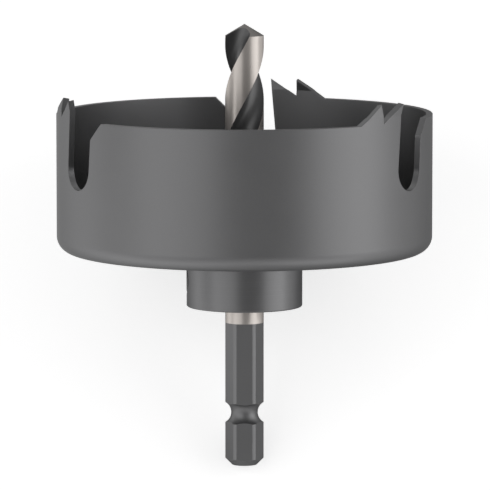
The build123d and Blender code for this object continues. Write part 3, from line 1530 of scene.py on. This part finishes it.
    def fluted_bar(self, foot: float, finish: bpy.types.Material) -> bpy.types.Object:
        """The round and fluted part of the bar, its point cut to a cone.

        Args:
            foot: Height of the bar's lower end.
            finish: The flutes' material.

        Returns:
            The closed solid.
        """
        outline = self.flute_outline()
        mesh = bpy.data.meshes.new("pilot_drill")
        mesh.from_pydata([(x, y, 0) for x, y in outline], [], [])
        bar = new_object("pilot_drill", mesh)
        web = self.web / 2
        flute_foot = self.reach - self.flute_length
        rise = self.radius - web
        runout_top = flute_foot + sqrt(rise * (2 * self.wheel_radius - rise))
        grow(
            bar,
            self.twist_tree(finish),
            {
                "Outline Points": len(outline),
                "Rows": self.rows,
                "Foot": foot,
                "Top": self.reach + PAST,
                "Pitch": self.flute_pitch,
                "Front Height": self.land_front_height,
                "Radius": self.radius,
                "Web Radius": web,
                "Flute Radius": self.flute_radius(),
                "Run-out Top": runout_top,
                "Wheel Radius": self.wheel_radius,
            },
        )
        sheet = bmesh.new()
        sheet.from_mesh(bar.data)
        open_ends = [edge for edge in sheet.edges if edge.is_boundary]
        bmesh.ops.holes_fill(sheet, edges=open_ends, sides=0)
        bmesh.ops.recalc_face_normals(sheet, faces=sheet.faces)
        sheet.to_mesh(bar.data)
        sheet.free()
        spare = self.radius + PAST
        cone_foot = self.reach - spare / tan(radians(self.point_angle / 2))
        cone = line((spare, cone_foot), (0, self.reach), self.cone_spacing)
        section = [(0, foot - PAST), (spare, foot - PAST), *cone, (0, self.reach)]
        envelope = turned("point_envelope", section, self.columns, closed=False)
        seat = self.radius - TOOL.flat_depth
        outside = 2 * spare
        corners = [(-outside, -outside), (-seat, -outside), (-seat, outside), (-outside, outside)]
        half = self.flat_length / 2
        flat = prism("screw_flat", corners, -TOOL.screw_drop - half, half - TOOL.screw_drop)
        combined(envelope, flat, Combine.CUT)
        return combined(bar, envelope, Combine.KEEP)

    def shank(self, top: float) -> bpy.types.Object:
        """The hexagonal shank with its locking groove and chamfered end.

        Args:
            top: Height of its upper end.

        Returns:
            The closed solid.
        """
        foot = top - TOOL.hex_length
        half_flat = degrees(acos(TOOL.hex_flats / 2 / self.hex_radius))
        outline: Outline = []
        for side in range(HEX_SIDES):
            middle = (side + 0.5) * SIXTH
            ends = (middle + half_flat, middle + SIXTH - half_flat)
            outline += arc((0, 0), (self.hex_radius, self.hex_radius), *ends, self.corner_steps)
        bar = prism("shank", outline, foot, top, rows=self.hex_rows)
        spare = self.radius + PAST
        slope = TOOL.end_chamfer
        across, up = self.groove_radii
        centre = (self.radius - self.groove_depth + across, foot + self.groove_distance)
        reach = degrees(acos((centre[0] - spare) / across))
        groove = arc(centre, (across, up), 180 + reach, 180 - reach, self.groove_steps)
        section = [
            (0, foot - PAST),
            (self.radius - slope - PAST, foot - PAST),
            (spare, foot + slope + PAST),
            *groove,
            (spare, top + PAST),
            (0, top + PAST),
        ]
        return combined(bar, turned("shank_envelope", section, self.columns, closed=False), Combine.KEEP)

    def dress(self, drill: bpy.types.Object, shop: Workshop, ring_foot: float) -> None:
        """Gives each face of the drill its finish, by where it lies on the bar.

        Args:
            drill: The finished mesh, in tool coordinates.
            shop: The workshop that holds the finishes.
            ring_foot: Height where the shank's coat ends and the bright bar starts.
        """
        names = ["ground_land", "black_flute", "ground_point", "shank_coat"]
        drill.data.materials.clear()
        for name in names:
            drill.data.materials.append(shop.materials[name])
        half_point = radians(self.point_angle / 2)
        for face in drill.data.polygons:
            x, y, z = face.center
            radius = hypot(x, y)
            outwards = (face.normal.x * x + face.normal.y * y) / max(radius, WELD)
            cone_facing = abs(face.normal.z - sin(half_point)) < self.cone_slack
            on_land = radius > self.radius - self.land_skin and outwards > self.land_facing
            if z < ring_foot + WELD:
                choice = "shank_coat"
            elif cone_facing and z > self.reach - self.radius:
                choice = "ground_point"
            elif on_land or z < self.reach - self.flute_length:
                choice = "ground_land"
            else:
                choice = "black_flute"
            face.material_index = names.index(choice)

    def build(self, shop: Workshop) -> bpy.types.Object:
        """Builds and dresses the drill.

        Args:
            shop: The workshop that holds the finishes.

        Returns:
            The drill, in the frame.
        """
        hex_top = -TOOL.hub_length - TOOL.round_length
        drill = self.fluted_bar(hex_top, shop.materials["black_flute"])
        combined(drill, self.shank(hex_top), Combine.JOIN)
        recalculated(drill)
        Smoothing(crease_from=self.crease_from, sharp_from=self.sharp_from).apply(drill)
        self.dress(drill, shop, hex_top)
        return shop.hand_over(drill, "pilot_drill")


@dataclass(frozen=True)
class SoftBox:
    """A large lamp with an even face, placed round the upright tool."""

    name: str
    azimuth: float
    elevation: float
    distance: float
    width: float
    height: float
    radiance: float

    def build(self, target: Vector) -> None:
        """Places the lamp so that it faces a point on the tool.

        Args:
            target: The point, in millimetres, in tool coordinates.
        """
        across = cos(radians(self.elevation))
        angle = radians(self.azimuth)
        ray = Vector((sin(angle) * across, -cos(angle) * across, sin(radians(self.elevation))))
        lamp = bpy.data.lights.new(self.name, "AREA")
        lamp.shape = "RECTANGLE"
        lamp.size = self.width * MILLIMETRE
        lamp.size_y = self.height * MILLIMETRE
        lamp.energy = self.radiance * pi * lamp.size * lamp.size_y
        holder = new_object(self.name, lamp)
        side = Vector((0, 0, 1)).cross(ray).normalized()
        upward = ray.cross(side)
        facing = Matrix((side, upward, ray)).transposed().to_4x4()
        turned_to = TO_FRAME.to_quaternion().to_matrix().to_4x4() @ facing
        place = TO_FRAME @ (target + ray * self.distance)
        holder.matrix_world = Matrix.Translation(place) @ turned_to


@dataclass
class Studio:
    """The camera, the lamps, the pale floor with its painted reflection, and the white surroundings."""

    camera_offset: Place = (0.097, -902.1, 106.65)
    camera_drop: float = 6.678
    lens: float = 368.1
    sensor: float = 36.0
    view_range: Spot = (0.01, 20.0)
    boxes: tuple[SoftBox, ...] = (
        SoftBox("left_box", azimuth=-40, elevation=8, distance=700, width=700, height=620, radiance=0.70),
        SoftBox("right_box", azimuth=66, elevation=10, distance=700, width=720, height=620, radiance=0.83),
    )
    lit_height: float = 10.0
    floor_size: float = 6.0
    floor_colour: float = 0.86
    floor_shade: float = 0.985
    floor_grain: float = 900.0
    floor_roughness: float = 0.9
    floor_gloss: float = 0.1
    floor_lift: float = 0.60
    # Painted reflection: the floor glows for glossy rays only, in steps across X, so the metal mirrors light
    # that no lamp gives
    painted_reflection_reach: float = 0.5
    painted_reflection_stops: tuple[Spot, ...] = (
        (-0.50, 0.18),
        (-0.085, 0.78),
        (-0.035, 0.48),
        (0.0, 0.06),
        (0.04, 0.06),
        (0.08, 0.36),
        (0.50, 0.10),
    )
    # A painted reflection patch beside the foot, right of the middle, that brightens the cup's lower corner
    painted_foot_reflection: float = 0.45
    painted_foot_reach: Spot = (-0.10, -0.06)
    painted_foot_side: Spot = (0.04, 0.08)
    high_sky: float = 0.30
    low_sky: float = 0.85
    sky_bend: float = 0.72

    def camera(self) -> None:
        """Places the camera where the photograph was taken from, seen from the tool."""
        lens = bpy.data.cameras.new("camera")
        lens.lens = self.lens
        lens.sensor_width = self.sensor
        lens.clip_start, lens.clip_end = self.view_range
        holder = new_object("camera", lens)
        level = Matrix.Rotation(radians(90 - self.camera_drop), 4, "X")
        place = TO_FRAME @ Vector(self.camera_offset)
        holder.matrix_world = Matrix.Translation(place) @ TOOL.turn() @ level
        bpy.context.scene.camera = holder

    def world(self) -> None:
        """White surroundings that are darker overhead, where the camera stands."""
        world = bpy.data.worlds.new("surroundings")
        bpy.context.scene.world = world
        world.use_nodes = True
        sheet = NodeSheet(world.node_tree)
        ways = sheet.add("ShaderNodeTexCoord")
        axes = sheet.add("ShaderNodeSeparateXYZ", {0: ways.outputs["Generated"]})
        ramp = sheet.add(
            "ShaderNodeMapRange",
            {
                "Value": axes.outputs["Z"],
                "From Min": 0.0,
                "From Max": self.sky_bend,
                "To Min": self.low_sky,
                "To Max": self.high_sky,
            },
            interpolation_type="SMOOTHSTEP",
        )
        seen = sheet.add("ShaderNodeLightPath").outputs["Is Camera Ray"]
        strength = sheet.maths("MAXIMUM", ramp.outputs[0], seen)
        sheet.feed(world.node_tree.nodes["Background"], {"Color": (1, 1, 1, 1), "Strength": strength})

    def painted_floor_reflection(self, sheet: NodeSheet, axes: bpy.types.Node) -> bpy.types.NodeSocket:
        """Painted reflection: a glow on the floor that only glossy rays see, in steps from left to right.

        Args:
            sheet: The floor material's nodes.
            axes: The node that splits a place on the floor into its axes.

        Returns:
            The painted glow, with the painted patch beside the foot added.
        """
        reach = {"From Min": -self.painted_reflection_reach, "From Max": self.painted_reflection_reach}
        along = sheet.add("ShaderNodeMapRange", {"Value": axes.outputs["X"], **reach})
        painted_reflection_ramp = sheet.add("ShaderNodeValToRGB", {"Fac": along.outputs[0]})
        stops = painted_reflection_ramp.color_ramp.elements
        while len(stops) < len(self.painted_reflection_stops):
            stops.new(1)
        for stop, (place, value) in zip(stops, self.painted_reflection_stops):
            stop.position = (1 + place / self.painted_reflection_reach) / 2
            stop.color = (value, value, value, 1)
        front, back = self.painted_foot_reach
        foot = sheet.add(
            "ShaderNodeMapRange",
            {
                "Value": axes.outputs["Y"],
                "From Min": front,
                "From Max": back,
                "To Min": self.painted_foot_reflection,
                "To Max": 0.0,
            },
        )
        near, far = self.painted_foot_side
        right = sheet.add(
            "ShaderNodeMapRange", {"Value": axes.outputs["X"], "From Min": near, "From Max": far}
        )
        # The painted patch of reflection beside the foot
        patch = sheet.maths("MULTIPLY", foot.outputs[0], right.outputs[0])
        return sheet.maths("ADD", painted_reflection_ramp.outputs[0], patch)

    def floor(self) -> None:
        """A plain pale floor that keeps the tool's shadow, with a painted reflection that only glossy rays
        see.
        """
        mesh = bpy.data.meshes.new("floor")
        half = self.floor_size / 2
        corners = [(-half, -half, 0), (half, -half, 0), (half, half, 0), (-half, half, 0)]
        mesh.from_pydata(corners, [], [(0, 1, 2, 3)])
        floor = new_object("floor", mesh)
        material = bpy.data.materials.new("pale_floor")
        material.use_nodes = True
        sheet = NodeSheet(material.node_tree)
        places = sheet.add("ShaderNodeTexCoord").outputs["Object"]
        grain = sheet.add("ShaderNodeTexNoise", {"Vector": places, "Scale": self.floor_grain})
        pale = (*[self.floor_colour] * 3, 1)
        shaded = (*[self.floor_colour * self.floor_shade] * 3, 1)
        rays = sheet.add("ShaderNodeLightPath")
        seen = sheet.maths("MULTIPLY", rays.outputs["Is Camera Ray"], self.floor_lift)
        painted_reflection_map = self.painted_floor_reflection(sheet, sheet.add("ShaderNodeSeparateXYZ", {0: places}))
        # Painted reflection: glossy rays see the floor glow by the stepped map
        painted_reflection_glow = sheet.maths("MULTIPLY", rays.outputs["Is Glossy Ray"], painted_reflection_map)
        sheet.feed(
            material.node_tree.nodes["Principled BSDF"],
            {
                "Base Color": sheet.mix(grain.outputs["Fac"], pale, shaded),
                "Roughness": self.floor_roughness,
                "Specular IOR Level": self.floor_gloss,
                "Emission Color": (1, 1, 1, 1),
                "Emission Strength": sheet.maths("ADD", seen, painted_reflection_glow),
            },
        )
        mesh.materials.append(material)

    def build(self) -> None:
        """Builds the whole studio."""
        self.camera()
        for box in self.boxes:
            box.build(Vector((0, 0, self.lit_height)))
        self.world()
        self.floor()
        bpy.context.scene.view_settings.view_transform = "Standard"


def main() -> None:
    """Builds each piece of the tool, reports it, and then builds the studio round it."""
    logging.basicConfig(level=logging.INFO, format="%(name)s: %(message)s")
    shop = Workshop()
    for maker in (CupShell(), Hub(), GrubScrew(), PilotDrill()):
        piece = maker.build(shop)
        triangles = sum(len(face.vertices) - 2 for face in piece.data.polygons)
        log.info("%s: %d triangles", piece.name, triangles)
    Studio().build()


if __name__ == "__main__":
    main()
